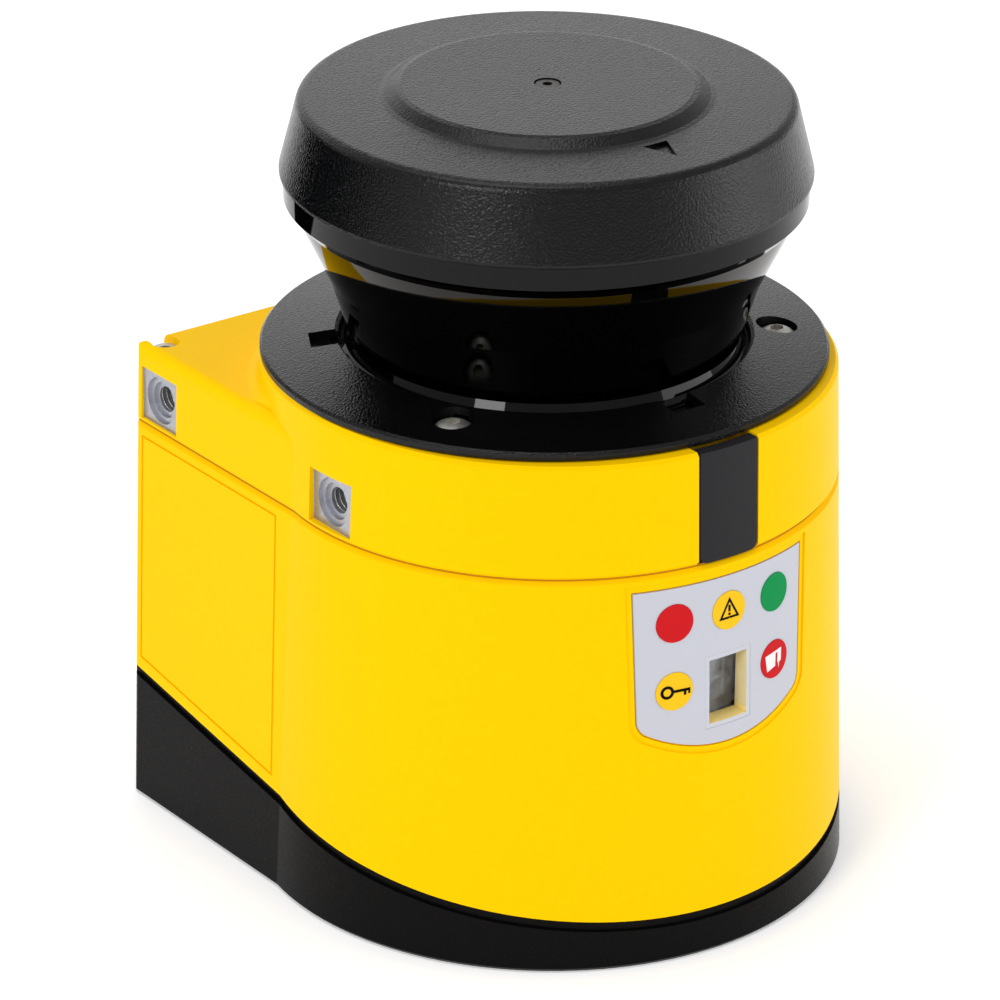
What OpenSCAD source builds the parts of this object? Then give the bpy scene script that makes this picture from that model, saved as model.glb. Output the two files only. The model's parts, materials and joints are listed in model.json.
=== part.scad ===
// Safety laser scanner.
// A die-cast housing of two shells stands on a moulded connector base. A mirror
// spins inside the optics cover, under the cap that holds its motor.
// The scan axis is Z, the front faces -Y, and the floor is z = 0.

/* [Housing] */
// Radius of the front drum at its top
drum_r_top = 52.9; // [52.8:0.1:53.4]
// Radius of the front drum at the floor
drum_r_foot = 56.2; // [55.6:0.1:56.8]
// Distance of the drum's axis in front of the scan axis
drum_forward = 2.4; // [2.2:0.1:2.6]
// Half width of the flat-sided rear at the deck
flat_x_top = 52.5; // [52.2:0.1:52.6]
// Half width of the flat-sided rear at the floor
flat_x_foot = 55.1; // [54.8:0.1:55.4]
// Distance from the scan axis to the rear face
rear_y = 58.5; // [58:0.1:60]
// Height of the joint between the two housing shells
seam_z = 78; // [77.5:0.1:78.5]
// Height of the rear deck
deck_z = 94; // [93.5:0.1:94.5]
// Height of the drum's top, where the clamp ring lies
drum_top_z = 100; // [99.8:0.1:100.2]
// Wall thickness of the castings
wall = 3; // [2.8:0.1:3.2]
// Radius of the upright rear corners
corner_r = 2.5; // [1.5:0.1:3]
// Radius of the deck's edges
deck_edge_r = 2.2; // [1:0.1:2.4]

/* [Base] */
// Height of the sloping joint between base and housing, at the scan axis
foot_z = 18.3; // [18:0.1:20]
// Slope of that joint, rising to the rear, in degrees
foot_angle = 9; // [8:0.5:10]
// Floor thickness of the base
base_floor = 2.5; // [2:0.1:3]

/* [Head] */
// Height of the scan plane
scan_z = 114.5; // [114:0.1:115]
// Height of the cap's centre
head_top_z = 152; // [151.8:0.1:152.6]
// Radius of the cap's lower edge
cap_r = 48.9; // [48.7:0.1:49.4]
// Wall thickness of the optics cover
cover_wall = 2.5; // [2:0.1:2.7]
// Radius of the clamp ring
ring_r = 52.7; // [52.4:0.1:52.8]
// Radius of the clamp ring's opening
ring_hole_r = 38.2; // [38:0.1:38.4]

/* [Front panel] */
// Height of the display foil's top edge
foil_top_z = 74.6; // [74:0.1:75]
// Radius of an indicator lens
lens_r = 3.7; // [3.2:0.1:3.8]
// Width of the display window
window_w = 9.2; // [9:0.1:10.5]
// Height of the display window
window_h = 13.2; // [12:0.1:14]

/* [Mounting] */
// Radius of the side threads' core, M6
side_thread_r = 2.5; // [2.5:0.1:2.6]
// Radius of the rear threads' core, M5
rear_thread_r = 2.1; // [2.1:0.1:2.2]
// Depth of the mounting threads
thread_depth = 8; // [7:0.5:8]
// Height of the side pads' centre
pad_z = 84.5; // [84:0.1:85]

/* [Hidden] */
$fn = 96;

seam_gap = 0.4;
lip = 0.7;
seam_low = seam_z - seam_gap / 2;
seam_high = seam_z + seam_gap / 2;
plate_z = 95;
flat_draft = atan((flat_x_foot - flat_x_top) / deck_z);
drum_draft = atan((drum_r_foot - drum_r_top) / drum_top_z);
pad_x = flat_x_top - 0.3;
pads_y = [-6.3, 49.8];
pad_threads = [thread_depth + 0.5, thread_depth];
pad_size = [11.7, 10.5];
rear_threads_x = 33;
rear_threads_z = [44, pad_z];
deck_screw = [48.2, 54.2];
ring_screw_az = [-59, 59, 180];
ring_screw_r = 43.3;
notch_az = [0, 120, -120];
base_screws_at = [[42, 47], [31, -36]];
plug_x = 20;
plug_z = 13.5;
board_z = 9;
main_board_z = 34;
slot_x = 6.8;
lens_top_z = 67.8;
lens_low_z = 54.4;
lens_az = 12.3;
window_z = 52.5;
panel_y = 47;
socket_y = 45;
collar_r = ring_r + 0.15;
neck_r = ring_hole_r - 1.9;
cover_r = cap_r - 0.6;
ring_edge_z = 101.8;
ring_rise = 1.8;
motor_plate_z = 131;
motor_z = 133.5;
cap_floor_z = 148;
band_z = 135.2;

// Radius of the drum and half width of the flat sides at a height
function drum_r(z) = drum_r_foot + (drum_r_top - drum_r_foot) * z / drum_top_z;
function flat_x(z) = flat_x_foot + (flat_x_top - flat_x_foot) * z / deck_z;
// Height of the sloping joint at a distance from the scan axis
function foot_at(y) = foot_z + y * tan(foot_angle);
// Place on a circle: 0 degrees is the front, 90 is +X
function around(az, r) = [r * sin(az), -r * cos(az)];

// ---- Forms that several pieces share ----

module drum_form(z0, z1, i0, i1)
  translate([0, -drum_forward, z0])
    cylinder(h = z1 - z0, r1 = drum_r(z0) - i0, r2 = drum_r(z1) - i1);

module block_form(z0, z1, i0, i1)
  intersection() {
    translate([0, rear_y + 1, 0]) rotate([90, 0, 0]) linear_extrude(rear_y + 1)
      polygon([[-flat_x(z0) + i0, z0], [flat_x(z0) - i0, z0],
               [flat_x(z1) - i1, z1], [-flat_x(z1) + i1, z1]]);
    translate([-60, 0, 0]) rotate([90, 0, 90]) linear_extrude(120)
      polygon([[0, z0], [rear_y - i0, z0], [rear_y - i1, z1], [0, z1]]);
  }

module body_form(z0, z1, i0 = 0, i1 = 0)
  union() {
    drum_form(z0, z1, i0, i1);
    block_form(z0, z1, i0, i1);
  }

module above_foot(lift = 0)
  translate([0, 0, foot_z + lift]) rotate([foot_angle, 0, 0])
    translate([-80, -90, 0]) cube([160, 190, 120]);

module below_foot(lift = 0)
  translate([0, 0, foot_z + lift]) rotate([foot_angle, 0, 0])
    translate([-80, -90, -120]) cube([160, 190, 120]);

// What a rounded edge takes off a square one; its axis is Z
module edge_cut(r, length, sx, sy)
  difference() {
    translate([sx > 0 ? 0 : -r - 2, sy > 0 ? 0 : -r - 2, 0]) cube([r + 2, r + 2, length]);
    translate([0, 0, -1]) cylinder(h = length + 2, r = r + 0.03);
  }

module rear_corners_cut()
  for (s = [-1, 1])
    translate([s * (flat_x_foot - corner_r), rear_y - corner_r, 0])
      rotate([0, -s * flat_draft, 0]) translate([0, 0, -5])
        edge_cut(corner_r, 110, s, 1);

// Outward from the drum's axis at an azimuth, along +Y of the child's frame
module facing(az, z)
  translate([0, -drum_forward, z]) rotate([0, 0, 180 + az]) children();

module bar_y(r, y0, y1) translate([0, y0, 0]) rotate([-90, 0, 0]) cylinder(h = y1 - y0, r = r);

module bar_x(r, x0, x1) translate([x0, 0, 0]) rotate([0, 90, 0]) cylinder(h = x1 - x0, r = r);

// ---- Connector base ----

module base_posts()
  for (s = [-1, 1], p = base_screws_at)
    translate([s * p[0], p[1], 0.5]) cylinder(h = foot_at(p[1]) - 0.5 + 1, r = 4.2);

module connector_base() color("#232223") difference() {
  union() {
    difference() {
      union() {
        intersection() {
          union() {
            body_form(0, 0.8, 0.8, 0);
            body_form(0.8, 40);
          }
          below_foot(-2);
        }
        intersection() {
          body_form(0.8, 40, lip, lip);
          below_foot();
        }
      }
      intersection() {
        body_form(base_floor, 45, wall, wall);
        below_foot(5);
      }
    }
    intersection() {
      base_posts();
      below_foot();
    }
    for (s = [-1, 1], y = [12, 42])
      translate([s * 26, y, 1]) cylinder(h = board_z - 1, r = 3);
    for (s = [-1, 1]) translate([s * plug_x, 0, plug_z]) bar_y(12, 50, rear_y - 1);
    // stiffening ribs across the floor
    for (y = [-30, -14, 2]) translate([-40, y - 0.8, 1]) cube([80, 1.6, 4]);
  }
  rear_corners_cut();
  intersection() {
    difference() {
      body_form(0, 45, 1.4, 1.4);
      body_form(-1, 46, 2.4, 2.4);
    }
    difference() {
      below_foot(1);
      below_foot(-0.8);
    }
  }
  for (s = [-1, 1]) {
    translate([s * plug_x, 0, plug_z]) {
      bar_y(8, 49, rear_y + 1);
      bar_y(10.2, rear_y - 3, rear_y + 1);
    }
    for (p = base_screws_at) translate([s * p[0], p[1], -1]) {
      cylinder(h = 50, r = 1.6);
      cylinder(h = 4, r = 3.2);
    }
  }
  // hollow under the floor, so that the base stands on its rim and a centre pad
  translate([0, 0, -1]) linear_extrude(1.8) difference() {
    union() {
      translate([0, -drum_forward]) circle(r = drum_r_foot - 8);
      translate([-flat_x_foot + 8, 0]) square([2 * flat_x_foot - 16, rear_y - 8]);
    }
    for (s = [-1, 1], p = base_screws_at) translate([s * p[0], p[1]]) circle(r = 6);
    circle(r = 9);
  }
}

module base_gasket() color("#1a1a1a") intersection() {
  difference() {
    body_form(0, 45, 1.4, 1.4);
    body_form(-1, 46, 2.4, 2.4);
  }
  difference() {
    below_foot(0);
    below_foot(-0.8);
  }
}

module base_screws() color("silver")
  for (s = [-1, 1], p = base_screws_at) translate([s * p[0], p[1], 0]) difference() {
    union() {
      translate([0, 0, 1]) cylinder(h = 2, r = 2.75);
      translate([0, 0, 3]) cylinder(h = foot_at(p[1]) + 4, r = 1.48);
    }
    translate([0, 0, 0.9]) cylinder(h = 1.4, r = 1.3, $fn = 6);
  }

module cable_plugs() color("#1d1d1e")
  for (s = [-1, 1]) translate([s * plug_x, 0, plug_z]) difference() {
    union() {
      bar_y(10, rear_y - 3, rear_y - 0.6);
      bar_y(7.95, rear_y - 8.5, rear_y - 3);
    }
    bar_y(5.8, rear_y - 9, rear_y - 4.5);
    translate([-6, rear_y - 2, -0.9]) cube([12, 3, 1.8]);
  }

module terminal_board() color("#1f5c3a") difference() {
  translate([-32, 6, board_z]) cube([64, 42, 1.6]);
  for (s = [-1, 1], y = [12, 42]) translate([s * 26, y, board_z - 1]) cylinder(h = 4, r = 1.5);
}

module terminal_block() color("#3d6a4b") difference() {
  translate([-27, 37, board_z + 1.6]) cube([54, 9, 9.5]);
  for (i = [0 : 11]) translate([-24.75 + 4.5 * i, 0, board_z + 5]) {
    bar_y(1.3, 42, 47);
    translate([0, 40, 0]) cylinder(h = 8, r = 1.5);
  }
}

module system_plug() color("#2b2b2c")
  translate([-17.5, 26, board_z + 1.6]) cube([35, 8, 11.4]);

module system_header() color("#d8d3c4")
  translate([-17.5, 26, 22]) cube([35, 8, main_board_z - 22]);

// ---- Lower housing and front panel ----

// Front view of the display foil: straight sides, and an arc below with rounded corners
module foil_outline(grow = 0) {
  side = 19.1 + grow;
  low = 42 - grow;
  arc_r = 34 + grow;
  arc_z = low + arc_r;
  round_r = 3.5 + grow;
  cx = side - 0.6 - round_r;
  cz = arc_z - sqrt(pow(arc_r - round_r, 2) - cx * cx);
  tilt = atan2(arc_z - cz, cx);
  difference() {
    intersection() {
      translate([0, arc_z]) circle(r = arc_r, $fn = 180);
      polygon([[-side + 0.6, low - 1], [side - 0.6, low - 1], [side - 0.6, cz],
               [side, foil_top_z + grow], [-side, foil_top_z + grow], [-side + 0.6, cz]]);
    }
    for (s = [-1, 1]) scale([s, 1]) difference() {
      polygon([[cx, cz], [cx + round_r + 2, cz], [cx + round_r + 2, cz - 12],
               [cx + (round_r + 4) * cos(tilt), cz - (round_r + 4) * sin(tilt)]]);
      translate([cx, cz]) circle(r = round_r + 0.02);
    }
  }
}

// The part of the drum's skin between two depths, inside the foil's outline
module foil_skin(depth0, depth1, grow = 0)
  intersection() {
    difference() {
      drum_form(35, 77, depth0, depth0);
      drum_form(34, 78, depth1, depth1);
    }
    translate([0, -30, 0]) rotate([90, 0, 0]) linear_extrude(40) foil_outline(grow);
  }

module window_prism(w, h, y0, y1)
  translate([-w / 2, y0, window_z - h / 2]) cube([w, y1 - y0, h]);

module lens_holes(r)
  for (p = [[-lens_az, lens_top_z], [0, lens_top_z], [lens_az, lens_top_z],
            [-lens_az, lens_low_z], [lens_az, lens_low_z]])
    facing(p[0], p[1]) bar_y(r, 42, 60);

module side_panels_cut()
  for (s = [-1, 1])
    translate([s * flat_x_foot, 0, 0]) rotate([0, -s * flat_draft, 0])
      translate([-0.35, 0, 0]) rotate([90, 0, 90]) linear_extrude(0.7)
        difference() {
          polygon([[10.8, foot_at(10.8) + 2.4], [55.5, foot_at(55.5) + 2.4], [55.5, 75.8], [10.8, 75.8]]);
          polygon([[11.3, foot_at(11.3) + 2.9], [55, foot_at(55) + 2.9], [55, 75.3], [11.3, 75.3]]);
        }

module lower_housing() color("#f7cb08") difference() {
  union() {
    difference() {
      intersection() {
        union() {
          body_form(0, seam_low - lip);
          body_form(seam_low - lip, seam_low, 0, lip);
        }
        above_foot();
      }
      intersection() {
        body_form(0, seam_z + 2, wall, wall);
        above_foot(wall);
      }
    }
    intersection() {
      union() {
        for (s = [-1, 1]) {
          for (p = base_screws_at) translate([s * p[0], p[1], 0]) cylinder(h = foot_at(p[1]) + 10, r = 4);
          for (y = [-2, 36]) translate([s * 36, y, 5]) cylinder(h = main_board_z - 5, r = 3);
          translate([s * deck_screw[0], deck_screw[1], 30]) cylinder(h = seam_low - 30, r = 3.4);
          translate([s * rear_threads_x, 0, rear_threads_z[0]]) bar_y(5, rear_y - 10, rear_y - 1);
          translate([s * 15, 0, 62]) bar_y(2, -panel_y - 5.5, -panel_y);
        }
      }
      above_foot(1);
      body_form(0, seam_low, 1, 1);
    }
  }
  rear_corners_cut();
  side_panels_cut();
  foil_skin(-2, 0.3, 1.6);
  foil_skin(-2, 0.8, 0.35);
  lens_holes(2.5);
  window_prism(window_w + 1.2, window_h + 1.2, -64, -panel_y - 1);
  translate([-17.7, 25.8, 10]) cube([35.4, 8.4, 40]);
  for (s = [-1, 1]) {
    for (p = base_screws_at) translate([s * p[0], p[1], 0]) cylinder(h = foot_at(p[1]) + 8, r = 1.5);
    translate([s * deck_screw[0], deck_screw[1], 62]) cylinder(h = 20, r = 1.25);
    translate([s * rear_threads_x, 0, rear_threads_z[0]])
      bar_y(rear_thread_r, rear_y - thread_depth, rear_y + 1);
  }
}

module housing_gasket() color("#2a2a2a") difference() {
  body_form(seam_low, seam_high, 0.8, 0.8);
  body_form(seam_low - 0.1, seam_high + 0.1, 2.3, 2.3);
}

module display_foil() color("#c9cbd4") difference() {
  foil_skin(0.3, 0.8);
  lens_holes(lens_r + 0.05);
  window_prism(window_w + 1.2, window_h + 1.2, -64, -panel_y - 1);
}

// A tray with clear sides and a clear pane in front of the digits
module display_window() color("#d9cf9a") difference() {
  intersection() {
    window_prism(window_w + 1.1, window_h + 1.1, -60, -panel_y - 4.6);
    drum_form(40, 70, 0.35, 0.35);
  }
  window_prism(window_w - 0.6, window_h - 0.6, -61, -panel_y - 5.6);
}

module display_module() color("#8f9296")
  window_prism(window_w - 1, window_h - 1, -panel_y - 4.6, -panel_y);

module display_board() color("#1f5c3a") difference() {
  translate([-18, -panel_y, 44]) cube([36, 1.6, 31]);
  for (s = [-1, 1]) translate([s * 15, 0, 62]) bar_y(0.9, -panel_y - 1, -panel_y + 2);
}

module lens(az, z, tint) color(tint) facing(az, z) {
  intersection() {
    bar_y(lens_r, 50, 60);
    rotate([0, 0, 180 - az]) translate([0, drum_forward, -z]) difference() {
      drum_form(35, 78, 0.15, 0.15);
      drum_form(34, 79, 0.8, 0.8);
    }
  }
  intersection() {
    bar_y(2.4, 42, 56);
    rotate([0, 0, 180 - az]) translate([0, drum_forward, -z]) difference() {
      drum_form(35, 78, 0.8, 0.8);
      translate([-30, -panel_y, 0]) cube([60, 60, 90]);
    }
  }
}

module red_lens() lens(-lens_az, lens_top_z, "#d2191e");
module warning_lens() lens(0, lens_top_z, "#ffc805");
module green_lens() lens(lens_az, lens_top_z, "#0a9b4b");
module restart_lens() lens(-lens_az, lens_low_z, "#ffc805");
module soiling_lens() lens(lens_az, lens_low_z, "#d2191e");

// ---- Upper housing ----

module deck_block() difference() {
  block_form(seam_high + lip, deck_z, 0, 0);
  for (s = [-1, 1])
    translate([s * (flat_x_top - deck_edge_r), 0, deck_z - deck_edge_r]) rotate([-90, 0, 0])
      translate([0, 0, -5]) edge_cut(deck_edge_r, 80, s, -1);
  translate([-60, rear_y - deck_edge_r, deck_z - deck_edge_r]) rotate([90, 0, 90])
    edge_cut(deck_edge_r, 120, 1, 1);
}

// Hollow round blend where the drum rises from the deck
module drum_blend() intersection() {
  rotate_extrude() difference() {
    translate([collar_r - 1.5, deck_z - 1]) square([4, 3.5]);
    translate([collar_r + 2.5, deck_z + 2.48]) circle(r = 2.5);
  }
  translate([-flat_x_top + deck_edge_r, 4, deck_z - 2])
    cube([2 * (flat_x_top - deck_edge_r), rear_y - 4 - deck_edge_r, 5]);
}

// The drum and, round the scan axis, the collar that the clamp ring lies on
module drum_top() {
  drum_form(seam_high + lip, drum_top_z - 0.7, 0, 0);
  drum_form(drum_top_z - 0.7, drum_top_z, 0, 0.55);
  translate([0, 0, deck_z - 2]) cylinder(h = drum_top_z - deck_z + 1.3, r = collar_r);
  translate([0, 0, drum_top_z - 0.7]) cylinder(h = 0.7, r1 = collar_r, r2 = collar_r - 0.55);
}

module pad_bosses()
  for (s = [-1, 1], y = pads_y) translate([0, y, pad_z])
    if (s > 0) bar_x(5.6, pad_x - 10.5, pad_x); else bar_x(5.6, -pad_x, -pad_x + 10.5);

// Machined square face, two spot faces and the M6 thread
module pad_cuts()
  for (s = [-1, 1], i = [0, 1])
    translate([0, pads_y[i], pad_z]) rotate([0, 0, s > 0 ? 0 : 180]) {
    translate([pad_x, -pad_size[0] / 2, -pad_size[1] / 2]) cube([8, pad_size[0], pad_size[1]]);
    bar_x(4.6, pad_x - 0.7, pad_x + 1);
    bar_x(3.5, pad_x - 1.4, pad_x + 1);
    bar_x(side_thread_r, pad_x - pad_threads[i], pad_x + 1);
  }

module interface_pocket() difference() {
  intersection() {
    translate([-slot_x - 2, -socket_y - 11, seam_high])
      cube([2 * slot_x + 4, 13.5, plate_z - seam_high]);
    drum_form(seam_high, drum_top_z, 1, 1);
  }
  translate([-slot_x, -socket_y - 19, seam_high + 1.5]) cube([2 * slot_x, 19, 30]);
}

module upper_housing() color("#f7cb08") difference() {
  union() {
    difference() {
      union() {
        body_form(seam_high, seam_high + lip, lip, 0);
        deck_block();
        drum_top();
        drum_blend();
      }
      block_form(seam_z - 1, deck_z - wall, wall, wall);
      drum_form(seam_z - 1, plate_z, wall, wall);
    }
    interface_pocket();
    pad_bosses();
    intersection() {
      union() {
        for (s = [-1, 1]) {
          translate([s * deck_screw[0], deck_screw[1], seam_high]) cylinder(h = 14, r = 3.4);
          translate([s * rear_threads_x, 0, rear_threads_z[1]]) bar_y(5, rear_y - 10, rear_y - 1);
        }
        for (az = ring_screw_az) translate(concat(around(az, ring_screw_r), [88])) cylinder(h = 8, r = 4.2);
      }
      body_form(seam_high, drum_top_z, 1, 1);
    }
  }
  rear_corners_cut();
  pad_cuts();
  // slot for the interface cover, open at the top under the clamp ring
  translate([-slot_x, -socket_y - 19, seam_z - 2]) cube([2 * slot_x, 14.5, 40]);
  translate([0, 0, 87]) bar_y(4.05, -socket_y - 6, -socket_y + 6);
  translate([0, 0, plate_z - 1]) cylinder(h = 8, r = 33.6);
  translate([0, 0, drum_top_z - 1.2]) rotate_extrude() translate([neck_r, 0]) square([2, 3]);
  for (az = ring_screw_az) translate(concat(around(az, ring_screw_r), [86])) cylinder(h = 20, r = 1.75);
  for (az = [90, -90, 180]) translate(concat(around(az, 35.6), [plate_z - 1])) cylinder(h = 3.6, r = 1.25);
  for (s = [-1, 1]) {
    translate([s * rear_threads_x, 0, rear_threads_z[1]])
      bar_y(rear_thread_r, rear_y - thread_depth, rear_y + 1);
    translate([s * deck_screw[0], deck_screw[1], seam_z - 2]) cylinder(h = 30, r = 1.35);
    translate([s * deck_screw[0], deck_screw[1], deck_z - 3.6]) {
      cylinder(h = 8, r = 2.7);
      translate([-2.5, 0, 0]) cube([5, 10, 8]);
    }
  }
}

module housing_screws() color("silver")
  for (s = [-1, 1]) translate([s * deck_screw[0], deck_screw[1], 0]) difference() {
    union() {
      translate([0, 0, deck_z - 3.6]) cylinder(h = 2.4, r = 2.3);
      translate([0, 0, 66]) cylinder(h = deck_z - 3.6 - 66, r = 1.25);
    }
    translate([0, 0, deck_z - 2.6]) cylinder(h = 3, r = 1.15, $fn = 6);
  }

// Flush with the drum, with two snap legs that hold it in the slot
module interface_cover() color("#3a3a3b") {
  low = seam_high + 0.15;
  high = drum_top_z - 0.2;
  half = slot_x - 0.35;
  intersection() {
    difference() {
      drum_form(seam_z, drum_top_z, 0, 0);
      drum_form(seam_z - 1, drum_top_z + 1, 2.4, 2.4);
    }
    translate([0, -50, 0]) rotate([90, 0, 0]) linear_extrude(10) {
      translate([-half, low + 1.5]) square([2 * half, high - low - 1.5]);
      translate([-half + 1.5, low]) square([2 * half - 3, 3]);
      for (s = [-1, 1]) translate([s * (half - 1.5), low + 1.5]) circle(r = 1.5, $fn = 48);
    }
  }
  for (s = [-1, 1]) intersection() {
    translate([s > 0 ? 5.2 : -6.4, -socket_y - 9, 82]) cube([1.2, 6, 10]);
    drum_form(seam_z, drum_top_z, 1, 1);
  }
}

// Four-pole M8 socket
module interface_socket() color("#c8c8c4") translate([0, 0, 87]) difference() {
  union() {
    bar_y(5.2, -socket_y - 1.9, -socket_y);
    bar_y(4, -socket_y - 2.5, -socket_y + 4.5);
  }
  difference() {
    bar_y(3.3, -socket_y - 4, -socket_y + 1.5);
    bar_y(2.2, -socket_y - 4, -socket_y + 2.5);
  }
  for (x = [-1, 1], z = [-1, 1]) translate([x, 0, z]) bar_y(0.45, -socket_y - 4, -socket_y + 2.5);
}

// ---- Electronics ----

module main_board() color("#1f5c3a") difference() {
  translate([-39, -8, main_board_z]) cube([78, 48.5, 1.6]);
  for (s = [-1, 1], y = [-2, 36]) translate([s * 36, y, main_board_z - 1]) cylinder(h = 4, r = 1.5);
}

module processor_chips() color("#1b1b1d") {
  translate([-30, 10, main_board_z + 1.6]) cube([16, 16, 1.8]);
  translate([-6, 8, main_board_z + 1.6]) cube([10, 10, 1.4]);
  translate([-28, 30, main_board_z + 1.6]) cube([12, 8, 1.2]);
}

module power_module() color("#b9bbbd")
  translate([12, 10, main_board_z + 1.6]) cube([22, 26, 11]);

// ---- Optics ----

module optics_chassis() color("#a9abad") difference() {
  union() {
    translate([0, 0, plate_z - 3.5]) cylinder(h = 3.5, r = 38);
    translate([0, 0, 60.1]) cylinder(h = plate_z - 61, r = 23.5);
    for (i = [0 : 5]) rotate([0, 0, 30 + 60 * i]) translate([20, -1, 76]) cube([12.8, 2, 17]);
  }
  translate([0, 0, 84]) cylinder(h = 20, r = 21.05);
  translate([0, 0, 59]) cylinder(h = 40, r = 19);
  for (az = [90, -90, 180]) translate(concat(around(az, 35.6), [80])) cylinder(h = 20, r = 1.6);
}

module chassis_screws() color("silver")
  for (az = [90, -90, 180]) translate(concat(around(az, 35.6), [0])) difference() {
    union() {
      translate([0, 0, plate_z - 5.9]) cylinder(h = 2.4, r = 2.2);
      translate([0, 0, plate_z - 3.5]) cylinder(h = 6, r = 1.25);
    }
    translate([0, 0, plate_z - 6]) cylinder(h = 1.4, r = 1, $fn = 6);
  }

// Receiving lens, with a hole for the laser barrel
module receiver_lens() color("#9fb4c8") difference() {
  intersection() {
    translate([0, 0, 84]) cylinder(h = 9, r = 21);
    translate([0, 0, 91 - 52]) sphere(r = 52, $fn = 128);
  }
  translate([0, 0, 80]) cylinder(h = 20, r = 5.05);
}

module laser_module() color("#b5a06a") {
  translate([0, 0, 78]) cylinder(h = 18, r = 5);
  translate([0, 0, 82]) cylinder(h = 2, r = 7.5);
}

module receiver_board() color("#1f5c3a") translate([0, 0, 58.5]) cylinder(h = 1.6, r = 23.5);

module receiver_diode() color("#c9b06a") {
  translate([0, 0, 60.1]) cylinder(h = 1, r = 5.2);
  translate([0, 0, 61.1]) cylinder(h = 3, r = 4.2);
}

module dust_sensors() color("#d9dde0")
  for (az = [-110, -60, 0, 60, 110]) translate(concat(around(az, 29.5), [plate_z])) {
    cylinder(h = 4, r = 1.5);
    translate([0, 0, 4]) sphere(r = 1.5, $fn = 32);
  }

// ---- Head ----

module clamp_ring() color("#3c3c3e") difference() {
  rotate_extrude() polygon([
    [ring_hole_r, drum_top_z + 2], [ring_hole_r + 1.5, drum_top_z + 2],
    [ring_hole_r + 1.5, drum_top_z], [ring_r - 0.4, drum_top_z],
    [ring_r, drum_top_z + 0.4], [ring_r, ring_edge_z - 0.5], [ring_r - 0.5, ring_edge_z],
    [ring_hole_r + 0.6, ring_edge_z + ring_rise], [ring_hole_r, ring_edge_z + ring_rise - 0.6]]);
  for (az = notch_az) rotate([0, 0, 180 + az])
    translate([-3.45, 35, drum_top_z + 1.4]) cube([6.9, 8.6, 8]);
  for (az = ring_screw_az) translate(concat(around(az, ring_screw_r), [0])) {
    translate([0, 0, drum_top_z + 0.6]) cylinder(h = 6, r = 3.9);
    translate([0, 0, drum_top_z - 1]) cylinder(h = 6, r = 2.1);
  }
}

module ring_screws() color("silver")
  for (az = ring_screw_az) translate(concat(around(az, ring_screw_r), [0])) difference() {
    union() {
      translate([0, 0, drum_top_z + 0.6]) intersection() {
        cylinder(h = 2, r = 3.4);
        translate([0, 0, -3.4]) sphere(r = 5.4, $fn = 64);
      }
      translate([0, 0, 90]) cylinder(h = drum_top_z + 0.6 - 90, r = 1.75);
    }
    translate([0, 0, drum_top_z + 1.3]) cylinder(h = 3, r = 1.4, $fn = 6);
  }

// Outer profile of the optics cover: flange, neck, two cones and the band under the cap
function cover_profile() = [
  [neck_r + 3.1, 100], [neck_r + 3.1, 101.6], [neck_r + 1.8, 101.75], [neck_r + 0.8, 102.5],
  [neck_r, 104.2], [neck_r + 3.6, 115.6], [cover_r - 2.1, 128.8], [cover_r - 0.9, 130.2],
  [cover_r - 0.1, 131], [cover_r, band_z]];

module optics_cover() color("#141416") rotate_extrude() polygon(concat(
  cover_profile(),
  [[cover_r - 2.6, band_z], [cover_r - 2.7, 131.4], [cover_r - 2.1 - cover_wall, 129.4],
   [neck_r + 3.6 - cover_wall, 116.1], [neck_r - cover_wall, 104.6], [neck_r - cover_wall, 100]]));

module optics_seal() color("#1a1a1a") translate([0, 0, drum_top_z - 1.2])
  rotate_extrude() translate([neck_r, 0]) square([2, 1.2]);

module motor_bracket() color("#a9abad") difference() {
  union() {
    translate([0, 0, motor_plate_z]) cylinder(h = 2.5, r = 24);
    translate([0, 0, plate_z]) rotate([0, 0, 60]) rotate_extrude(angle = 60)
      translate([28, 0]) square([3.5, motor_plate_z + 2.5 - plate_z]);
    translate([-9, 20, motor_plate_z]) cube([18, 9, 2.5]);
  }
  translate([0, 0, motor_plate_z - 1]) cylinder(h = 5, r = 5.1);
}

module motor_housing() color("#bfc1c3") difference() {
  translate([0, 0, motor_z]) cylinder(h = cap_floor_z - motor_z, r = 16);
  translate([0, 0, motor_z + 2.6]) cylinder(h = 7, r = 14.2);
  translate([0, 0, motor_z - 1]) cylinder(h = 10.6, r = 5);
  translate([0, 0, cap_floor_z - 3.2]) cylinder(h = 4, r = 1.25);
}

module motor_stator() color("#8a4b22") translate([0, 0, motor_z + 2.8]) difference() {
  cylinder(h = 6.2, r = 14.2);
  translate([0, 0, -1]) cylinder(h = 9, r = 8.6);
  for (i = [0 : 8]) rotate([0, 0, 40 * i]) translate([8, -0.8, -1]) cube([4.5, 1.6, 9]);
}

module motor_bearings() color("#d5d7d9")
  for (z = [motor_z + 0.1, motor_z + 7.1]) translate([0, 0, z]) difference() {
    cylinder(h = 2.4, r = 5);
    translate([0, 0, -1]) cylinder(h = 5, r = 2.03);
  }

module motor_shaft() color("#cfd1d3") translate([0, 0, 123]) cylinder(h = motor_z + 9.5 - 123, r = 2);

module rotor_magnet() color("#3a3b3d") translate([0, 0, motor_z + 3]) difference() {
  cylinder(h = 3.8, r = 8);
  translate([0, 0, -1]) cylinder(h = 6, r = 2);
}

module encoder_disc() color("#c9cbcd") translate([0, 0, 128.3]) difference() {
  cylinder(h = 0.6, r = 18);
  translate([0, 0, -1]) cylinder(h = 3, r = 2);
  for (i = [0 : 23]) rotate([0, 0, 15 * i]) translate([14.2, -0.7, -1]) cube([2.6, 1.4, 3]);
}

module encoder_sensor() color("#202022") difference() {
  translate([-4, 15, 126.2]) cube([8, 8.5, motor_plate_z - 126.2]);
  translate([-5, 14, 127.7]) cube([10, 5, 1.8]);
}

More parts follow.
